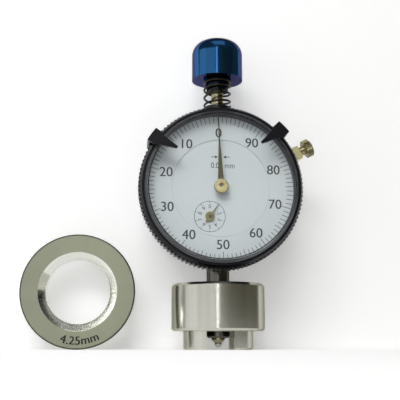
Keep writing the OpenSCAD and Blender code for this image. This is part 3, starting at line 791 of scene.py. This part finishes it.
class Lettering:
    """Flat letters of a set height."""

    CURVE_STEPS = 5
    # Keeps the two strikes of a bold letter from lying in one plane
    STRIKE_GAP_MM = 0.002

    def __init__(self, bold_mm: float = 0.0) -> None:
        """Measures the font's figures.

        Args:
            bold_mm: Width that a second strike of each letter adds to its strokes.
        """
        self.bold_mm = bold_mm
        figure = self._mesh("0", 1.0)
        heights = [vertex.co.y for vertex in figure.vertices]
        self.figure_height = max(heights) - min(heights)

    def _mesh(self, words: str, size: float) -> bpy.types.Mesh:
        """Writes words at a font size.

        Args:
            words: What to write.
            size: The font size.

        Returns:
            The flat letters, centred on the origin.
        """
        curve = bpy.data.curves.new("lettering", "FONT")
        curve.body = words
        curve.size = size
        curve.resolution_u = self.CURVE_STEPS
        curve.align_x = "CENTER"
        holder = bpy.data.objects.new("lettering", curve)
        bpy.context.scene.collection.objects.link(holder)
        mesh = baked(holder)
        bpy.data.curves.remove(curve)
        rows = [vertex.co.y for vertex in mesh.vertices]
        mesh.transform(Matrix.Translation((0, -(max(rows) + min(rows)) / 2, 0)))
        return mesh

    def write(self, words: str, height_mm: float, narrow: float = 1.0) -> bpy.types.Mesh:
        """Writes words with figures of a real height.

        Args:
            words: What to write.
            height_mm: Height of a figure.
            narrow: Share of the font's own width.

        Returns:
            The flat letters, centred on the origin.
        """
        mesh = self._mesh(words, height_mm * MM / self.figure_height)
        mesh.transform(Matrix.Diagonal((narrow, 1, 1, 1)))
        if self.bold_mm == 0:
            return mesh
        work = bmesh.new()
        for side in (-0.5, 0.5):
            shift = Matrix.Translation((side * self.bold_mm * MM, 0, side * self.STRIKE_GAP_MM * MM))
            mesh.transform(shift)
            work.from_mesh(mesh)
            mesh.transform(shift.inverted())
        work.to_mesh(mesh)
        work.free()
        return mesh


class NodeTool:
    """A group of geometry nodes that makes a mesh from named inputs."""

    NAME = ""
    INPUTS: tuple[tuple[str, str], ...] = ()

    def __init__(self) -> None:
        """Builds the group once: its inputs, its shape and its material."""
        self.tree = bpy.data.node_groups.new(self.NAME, "GeometryNodeTree")
        self.tree.interface.new_socket("Geometry", in_out="OUTPUT", socket_type="NodeSocketGeometry")
        self.sockets = {
            name: self.tree.interface.new_socket(name, in_out="INPUT", socket_type=kind).identifier
            for name, kind in self.INPUTS
        }
        outputs = add_node(self.tree, "NodeGroupInput").outputs
        given = {name: outputs[name] for name, _ in self.INPUTS}
        real = add_node(self.tree, "GeometryNodeRealizeInstances", {"Geometry": self.shape(given)})
        inputs = {"Geometry": real.outputs["Geometry"], "Material": given["Material"]}
        skinned = add_node(self.tree, "GeometryNodeSetMaterial", inputs)
        add_node(self.tree, "NodeGroupOutput", {"Geometry": skinned.outputs["Geometry"]})

    def shape(self, given: dict[str, Socket]) -> Socket:
        """Adds the nodes that make the shape.

        Args:
            given: The group's inputs by name.

        Returns:
            The shape's geometry.
        """
        raise NotImplementedError

    def run(self, start: bpy.types.Mesh, values: dict[str, object]) -> bpy.types.Mesh:
        """Runs the group.

        Args:
            start: The mesh that the group starts from.
            values: Values of the inputs by name.

        Returns:
            The mesh that the group makes.
        """
        holder = bpy.data.objects.new(self.NAME, start)
        bpy.context.scene.collection.objects.link(holder)
        modifier = holder.modifiers.new(self.NAME, "NODES")
        modifier.node_group = self.tree
        for name, value in values.items():
            modifier[self.sockets[name]] = value
        return baked(holder)


class MarkRing(NodeTool):
    """Marks that stand around a circle."""

    NAME = "marks_around_a_circle"
    INPUTS = (
        ("Count", "NodeSocketInt"),
        ("Radius", "NodeSocketFloat"),
        ("Length", "NodeSocketFloat"),
        ("Width", "NodeSocketFloat"),
        ("Material", "NodeSocketMaterial"),
    )

    def shape(self, given: dict[str, Socket]) -> Socket:
        """Sets a flat mark on each point of a circle, turned to point outwards.

        Args:
            given: The group's inputs by name.

        Returns:
            The marks as instances.
        """
        inputs = {"Vertices": given["Count"], "Radius": given["Radius"]}
        circle = add_node(self.tree, "GeometryNodeMeshCircle", inputs)
        inputs = {"Size X": given["Length"], "Size Y": given["Width"], "Vertices X": 2, "Vertices Y": 2}
        mark = add_node(self.tree, "GeometryNodeMeshGrid", inputs)
        place = add_node(self.tree, "GeometryNodeInputPosition").outputs["Position"]
        turn = add_node(self.tree, "FunctionNodeAlignRotationToVector", {"Vector": place}, axis="X")
        inputs = {
            "Points": circle.outputs["Mesh"],
            "Instance": mark.outputs["Mesh"],
            "Rotation": turn.outputs["Rotation"],
        }
        return add_node(self.tree, "GeometryNodeInstanceOnPoints", inputs).outputs["Instances"]

    def draw(
        self, count: int, inner_mm: float, outer_mm: float, width_mm: float, finish: Finish
    ) -> bpy.types.Mesh:
        """Draws one ring of marks about the origin, the first on +X.

        Args:
            count: How many marks.
            inner_mm: Radius of the marks' inner ends.
            outer_mm: Radius of their outer ends.
            width_mm: Width of a mark.
            finish: The ink.

        Returns:
            The marks as a flat mesh.
        """
        values = {
            "Count": count,
            "Radius": (inner_mm + outer_mm) / 2 * MM,
            "Length": (outer_mm - inner_mm) * MM,
            "Width": width_mm * MM,
            "Material": finish.material(),
        }
        return self.run(bpy.data.meshes.new("marks"), values)


class WirePath(NodeTool):
    """A round wire that follows a path of points."""

    NAME = "wire_along_a_path"
    INPUTS = (
        ("Geometry", "NodeSocketGeometry"),
        ("Radius", "NodeSocketFloat"),
        ("Material", "NodeSocketMaterial"),
    )
    SIDES = 16

    def shape(self, given: dict[str, Socket]) -> Socket:
        """Sweeps a circle along the path and caps its ends.

        Args:
            given: The group's inputs by name.

        Returns:
            The wire.
        """
        path = add_node(self.tree, "GeometryNodeMeshToCurve", {"Mesh": given["Geometry"]})
        inputs = {"Resolution": self.SIDES, "Radius": given["Radius"]}
        section = add_node(self.tree, "GeometryNodeCurvePrimitiveCircle", inputs, mode="RADIUS")
        inputs = {
            "Curve": path.outputs["Curve"],
            "Profile Curve": section.outputs["Curve"],
            "Fill Caps": True,
        }
        return add_node(self.tree, "GeometryNodeCurveToMesh", inputs).outputs["Mesh"]

    def sweep(self, points: list[Vector], wire_mm: float, finish: Finish) -> bpy.types.Mesh:
        """Sweeps a wire along points.

        Args:
            points: The path in metres.
            wire_mm: Diameter of the wire.
            finish: The wire's finish.

        Returns:
            The wire as a closed mesh with smooth sides.
        """
        line = bpy.data.meshes.new("path")
        line.from_pydata(points, [(i, i + 1) for i in range(len(points) - 1)], [])
        mesh = self.run(line, {"Radius": wire_mm / 2 * MM, "Material": finish.material()})
        mesh.polygons.foreach_set("use_smooth", [len(face.vertices) == 4 for face in mesh.polygons])
        return mesh


@dataclass
class DialRing:
    """Print on the dial ring, which turns with the bezel: a hundred marks and ten anticlockwise numbers."""

    depth_mm: float = 9.82
    turn_deg: float = 2.0
    outer_mm: float = 25.3
    minor_mm: float = 23.1
    five_mm: float = 22.6
    ten_mm: float = 22.1
    mark_mm: float = 0.2
    number_ring_mm: float = 19.65
    number_mm: float = 3.3

    def build(self, marks: MarkRing, letters: Lettering) -> bpy.types.Object:
        """Builds the print.

        Args:
            marks: Draws the marks.
            letters: Writes the numbers.

        Returns:
            The piece.
        """
        start = Matrix.Rotation(math.radians(90 + self.turn_deg), 4, "Z")
        rings = (
            (100, self.minor_mm, self.outer_mm),
            (20, self.five_mm, self.minor_mm),
            (10, self.ten_mm, self.five_mm),
        )
        parts = [
            (marks.draw(count, inner, outer, self.mark_mm, DIAL_INK), start) for count, inner, outer in rings
        ]
        for tens in range(10):
            angle = math.radians(90 + self.turn_deg + TENTH_DEG * tens)
            middle = Vector((math.cos(angle), math.sin(angle), 0)) * self.number_ring_mm * MM
            parts.append((letters.write(str(10 * tens), self.number_mm), Matrix.Translation(middle)))
        stand = on_dial(self.depth_mm)
        piece = joined("dial_ring_print", [(mesh, stand @ place) for mesh, place in parts], DIAL_INK)
        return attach(piece, Body.BEZEL.value)


# Outline of the right-hand arrow from its tip, about the dial's middle line, in millimetres
ARROW_MM = ((0.9, 0.0), (1.95, 0.55), (1.95, 0.11), (3.3, 0.11), (3.3, -0.11), (1.95, -0.11), (1.95, -0.55))


@dataclass
class DialPlate:
    """Print on the fixed dial plate: the millimetre counter, the unit and its arrows."""

    depth_mm: float = 9.72
    counter_x_mm: float = -3.8
    counter_y_mm: float = -10.0
    counter_r_mm: float = 5.4
    line_count: int = 120
    line_mm: float = 0.16
    line_step_mm: float = 0.29
    tick_mm: float = 0.9
    tick_inset_mm: float = 0.12
    tick_width_mm: float = 0.14
    figure_inset_mm: float = 1.9
    figure_mm: float = 1.35
    unit: str = "0.01 mm"
    unit_mm: float = 2.0
    unit_narrow: float = 0.83
    unit_x_mm: float = 0.8
    unit_y_mm: float = 8.0
    arrow_y_mm: float = 11.0
    gap_count: int = 240
    gap_inner_mm: float = 16.92
    gap_outer_mm: float = 17.08
    gap_step_mm: float = 0.455
    gap_below_mm: float = 0.12

    def build(self, marks: MarkRing, letters: Lettering) -> bpy.types.Object:
        """Builds the print.

        Args:
            marks: Draws the marks.
            letters: Writes the figures.

        Returns:
            The piece.
        """
        middle = Matrix.Translation((self.counter_x_mm * MM, self.counter_y_mm * MM, 0))
        first_up = Matrix.Rotation(math.pi / 2, 4, "Z")
        edge = self.counter_r_mm
        line = marks.draw(self.line_count, edge - self.line_mm, edge, self.line_step_mm, DIAL_INK)
        ticks = marks.draw(10, edge - self.tick_mm, edge - self.tick_inset_mm, self.tick_width_mm, DIAL_INK)
        parts = [(line, middle), (ticks, middle @ first_up)]
        lift = Matrix.Translation((0, (edge - self.figure_inset_mm) * MM, 0))
        for figure in range(10):
            turn = Matrix.Rotation(math.radians(-TENTH_DEG * figure), 4, "Z")
            parts.append((letters.write(str(figure), self.figure_mm), middle @ turn @ lift))
        unit_place = Matrix.Translation((self.unit_x_mm * MM, self.unit_y_mm * MM, 0))
        parts.append((letters.write(self.unit, self.unit_mm, self.unit_narrow), unit_place))
        arrow_place = Matrix.Translation((0, self.arrow_y_mm * MM, 0))
        parts += [(self._arrow(side), arrow_place) for side in (-1, 1)]
        stand = on_dial(self.depth_mm)
        piece = joined("dial_plate_print", [(mesh, stand @ place) for mesh, place in parts], DIAL_INK)
        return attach(piece, Body.FRAME.value)

    def line_gap(self, marks: MarkRing) -> bpy.types.Object:
        """Lines the narrow gap around the plate, so that no black case shows through it.

        Args:
            marks: Draws the lining.

        Returns:
            The piece.
        """
        lining = marks.draw(
            self.gap_count, self.gap_inner_mm, self.gap_outer_mm, self.gap_step_mm, DIAL_ENAMEL
        )
        stand = on_dial(self.depth_mm - self.gap_below_mm)
        piece = joined("dial_gap_lining", [(lining, stand)], DIAL_ENAMEL)
        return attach(piece, Body.FRAME.value)

    @staticmethod
    def _arrow(side: int) -> bpy.types.Mesh:
        """Draws one of the two arrows that point at the middle.

        Args:
            side: -1 for the left arrow, 1 for the right one.

        Returns:
            The arrow as a flat mesh.
        """
        points = [(side * x * MM, y * MM, 0.0) for x, y in ARROW_MM]
        order = list(range(len(points)))
        mesh = bpy.data.meshes.new("arrow")
        mesh.from_pydata(points, [], [order if side < 0 else order[::-1]])
        return mesh


# Rise of a closed turn in wire diameters, and points on each turn
CLOSED_PITCH = 1.06
STEPS_A_TURN = 40


@dataclass
class CoilSpring:
    """A compression spring with closed turns at its ends."""

    node: str
    x_mm: float
    low_mm: float
    high_mm: float
    radius_mm: float
    wire_mm: float
    open_turns: float
    low_turns: float = 0.8
    high_turns: float = 0.8
    start_deg: float = 34.4
    travel_mm: float = 5.2

    def height_at(self, turn: float) -> float:
        """Gives the height of the wire's middle after some turns.

        Args:
            turn: Turns from the lower end.

        Returns:
            The height in millimetres.
        """
        low, high = self.low_mm + self.wire_mm / 2, self.high_mm - self.wire_mm / 2
        pitch = self.wire_mm * CLOSED_PITCH
        first, last = low + self.low_turns * pitch, high - self.high_turns * pitch
        opened = turn - self.low_turns
        if opened < 0:
            return low + turn * pitch
        if opened > self.open_turns:
            return last + (opened - self.open_turns) * pitch
        return first + (last - first) * opened / self.open_turns

    def path(self) -> list[Vector]:
        """Gives the middle of the wire.

        Returns:
            Points from the spring's lower end to its upper one.
        """
        turns = self.low_turns + self.open_turns + self.high_turns
        steps = int(turns * STEPS_A_TURN)
        points = []
        for step in range(steps + 1):
            turn = turns * step / steps
            angle = math.radians(360 * turn + self.start_deg)
            x = self.x_mm + self.radius_mm * math.cos(angle)
            y = self.radius_mm * math.sin(angle)
            points.append(Vector((x, y, self.height_at(turn))) * MM)
        return points

    def build(self, wire: WirePath) -> bpy.types.Object:
        """Builds the spring in place of its plain solid.

        Args:
            wire: Sweeps the wire.

        Returns:
            The piece.
        """
        coil = wire.sweep(self.path(), self.wire_mm, SPRING_WIRE)
        piece = joined(f"{self.node}_wire", [(coil, Matrix())], SPRING_WIRE)
        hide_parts(self.node)
        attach(piece, Body.FRAME.value)
        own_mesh(piece)
        return piece


KNOB_SPRING = CoilSpring(
    node="knob_spring",
    x_mm=0.0,
    low_mm=86.7,
    high_mm=97.05,
    radius_mm=4.7,
    wire_mm=0.8,
    open_turns=2.87,
    low_turns=0.5,
    start_deg=-15.4,
)
RETURN_SPRING = CoilSpring(
    node="return_spring",
    x_mm=9.2,
    low_mm=41.52,
    high_mm=62.15,
    radius_mm=1.28,
    wire_mm=0.36,
    open_turns=26.0,
)


@dataclass
class RingMark:
    """The height etched on the front of the setting ring."""

    front_mm: float = 2.15
    proud_mm: float = 0.015
    radius_mm: float = 16.9
    height_mm: float = 2.85
    turn_deg: float = 3.9
    words: str = "4.25mm"

    def build(self, letters: Lettering) -> bpy.types.Object:
        """Builds the mark along the ring's lower edge.

        Args:
            letters: Writes the figures.

        Returns:
            The piece.
        """
        stand = Matrix.Translation((RING_X, self.front_mm * MM, RING_Z)) @ UPRIGHT
        mesh = letters.write(self.words, self.height_mm)
        for vertex in mesh.vertices:
            radius = self.radius_mm * MM - vertex.co.y
            angle = vertex.co.x / (self.radius_mm * MM) + math.radians(self.turn_deg)
            vertex.co = (radius * math.sin(angle), -radius * math.cos(angle), self.proud_mm * MM)
        piece = joined("ring_mark", [(mesh, stand)], ETCH_INK)
        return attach(piece, Body.RING.value)


@dataclass(frozen=True)
class Lamp:
    """A soft flat lamp that faces the spindle axis, placed and sized in metres."""

    name: str
    place: Place
    size: tuple[float, float]
    watts: float
    aim: float
    flagged: str = ""

    def build(self) -> None:
        """Hangs the lamp and keeps it off the flagged solid, as a flag before the lamp does in a studio."""
        data = bpy.data.lights.new(self.name, "AREA")
        data.shape = "RECTANGLE"
        data.energy = self.watts
        data.size, data.size_y = self.size
        lamp = bpy.data.objects.new(self.name, data)
        lamp.location = self.place
        sight = Vector((0, 0, self.aim)) - Vector(self.place)
        lamp.rotation_euler = sight.to_track_quat("-Z", "Y").to_euler()
        bpy.context.scene.collection.objects.link(lamp)
        if self.flagged:
            shaded = bpy.data.collections.new(f"{self.name}_flag")
            shaded.objects.link(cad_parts[self.flagged])
            shaded.collection_objects[0].light_linking.link_state = "EXCLUDE"
            lamp.light_linking.receiver_collection = shaded


@dataclass(frozen=True)
class Card:
    """A dull card that stands beside the gauge for the metal to mirror, placed and sized in metres."""

    name: str
    place: Place
    width: float
    height: float
    turn_deg: float

    def build(self) -> None:
        """Stands the card up and turns it about the vertical."""
        x, z = self.width / 2, self.height / 2
        mesh = bpy.data.meshes.new(self.name)
        mesh.from_pydata([(-x, 0, -z), (x, 0, -z), (x, 0, z), (-x, 0, z)], [], [(0, 1, 2, 3)])
        mesh.materials.append(DARK_CARD.material())
        card = bpy.data.objects.new(self.name, mesh)
        card.location = self.place
        card.rotation_euler = (0, 0, math.radians(self.turn_deg))
        bpy.context.scene.collection.objects.link(card)


LAMPS = (
    # Lights the dial from above the camera; mirrored in the knob's crown it would be a hard bright spot
    Lamp("key_lamp", (-0.4, -1.12, 0.94), (1.1, 0.4), 10.0, 0.05, flagged="knob"),
    # Fills the shadows from above
    Lamp("top_lamp", (0.05, -0.35, 0.9), (0.6, 0.6), 0.6, 0.05),
    # The left side of the metal mirrors these two as pale bands
    Lamp("front_left_panel", (-0.225, -0.36, 0.14), (0.3, 0.34), 0.2, 0.14),
    Lamp("left_panel", (-0.415, -0.13, 0.14), (0.32, 0.34), 0.25, 0.14),
    # Draws the thin bright line down the knob and the base
    Lamp("strip_lamp", (-0.054, -0.45, 0.18), (0.012, 0.36), 0.115, 0.18),
)
CARDS = (
    Card("front_right_card", (0.257, -0.306, 0.14), 0.41, 0.44, 40.0),
    Card("right_card", (0.398, -0.035, 0.14), 0.26, 0.44, 85.0),
)


@dataclass
class Studio:
    """The pale floor and backdrop, the lamps, the cards that the metal mirrors, and the camera."""

    floor_m: float = 1.6
    wall_mm: float = 18.0
    cove_mm: float = 5.0
    cove_steps: int = 16
    sheet_left_mm: float = -150.0
    sheet_right_mm: float = 86.0
    sheet_high_mm: float = 155.0
    world_light: float = 0.12
    focal_mm: float = 70.93
    sensor_mm: float = 36.0
    near_mm: float = 5.0
    eye_mm: Place = (-29.64, -275.87, 2.27)
    tilt_deg: float = 10.292
    pan_deg: float = 4.832

    def build(self) -> None:
        """Sets the whole stage."""
        self._backdrop()
        self._world()
        for item in LAMPS + CARDS:
            item.build()
        self._camera()

    def _backdrop(self) -> None:
        """Builds the wide floor and the sheet of paper that curves up behind the gauge."""
        wide, wall, cove = self.floor_m, self.wall_mm * MM, self.cove_mm * MM
        left, right = self.sheet_left_mm * MM, self.sheet_right_mm * MM
        turns = [math.radians(90 * step / self.cove_steps) for step in range(self.cove_steps + 1)]
        profile = [(wall - cove + cove * math.sin(turn), cove - cove * math.cos(turn)) for turn in turns]
        profile.append((wall, self.sheet_high_mm * MM))
        points = [(x, y, z) for y, z in profile for x in (left, right)]
        faces = [(i, i + 1, i + 3, i + 2) for i in range(0, len(points) - 2, 2)]
        faces.append(tuple(range(len(points), len(points) + 4)))
        points += [(-wide, -wide, 0.0), (wide, -wide, 0.0), (wide, wide, 0.0), (-wide, wide, 0.0)]
        mesh = bpy.data.meshes.new("backdrop")
        mesh.from_pydata(points, [], faces)
        mesh.polygons.foreach_set("use_smooth", [True] * len(mesh.polygons))
        mesh.materials.append(STUDIO_PAPER.material())
        mesh.materials.append(FLOOR_PAPER.material())
        mesh.polygons[-1].material_index = 1
        sheet = bpy.data.objects.new("backdrop", mesh)
        bpy.context.scene.collection.objects.link(sheet)

    def _world(self) -> None:
        """Lights everything evenly."""
        world = bpy.data.worlds.new("studio")
        world.use_nodes = True
        light = world.node_tree.nodes["Background"]
        light.inputs["Color"].default_value = linear("#FFFFFF")
        light.inputs["Strength"].default_value = self.world_light
        bpy.context.scene.world = world

    def _camera(self) -> None:
        """Sets the camera at the photograph's place."""
        data = bpy.data.cameras.new("camera")
        data.sensor_width = self.sensor_mm
        data.lens = self.focal_mm
        data.clip_start = self.near_mm * MM
        camera = bpy.data.objects.new("camera", data)
        camera.location = Vector(self.eye_mm) * MM
        camera.rotation_euler = (math.radians(90 + self.tilt_deg), 0, math.radians(-self.pan_deg))
        bpy.context.scene.collection.objects.link(camera)
        bpy.context.scene.camera = camera


def dress_nodes() -> None:
    """Gives every solid of the frame its finish."""
    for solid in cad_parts.values():
        solid.data.materials.clear()
    for plain in list(bpy.data.materials):
        bpy.data.materials.remove(plain)
    for finish, names in FINISHED_NODES:
        for name in names:
            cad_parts[name].data.materials.append(finish.material())
        LOG.info("%s: %s", finish.name, ", ".join(names))


def main() -> None:
    """Builds the scene."""
    bpy.context.scene.view_settings.view_transform = "Standard"
    dress_nodes()
    marks, wire = MarkRing(), WirePath()
    DialRing().build(marks, Lettering(NUMBER_BOLD_MM))
    plate = DialPlate()
    plate.build(marks, Lettering())
    plate.line_gap(marks)
    for spring in (KNOB_SPRING, RETURN_SPRING):
        spring.build(wire)
    RingMark().build(Lettering(ETCH_BOLD_MM))
    Studio().build()


if __name__ == "__main__":
    main()
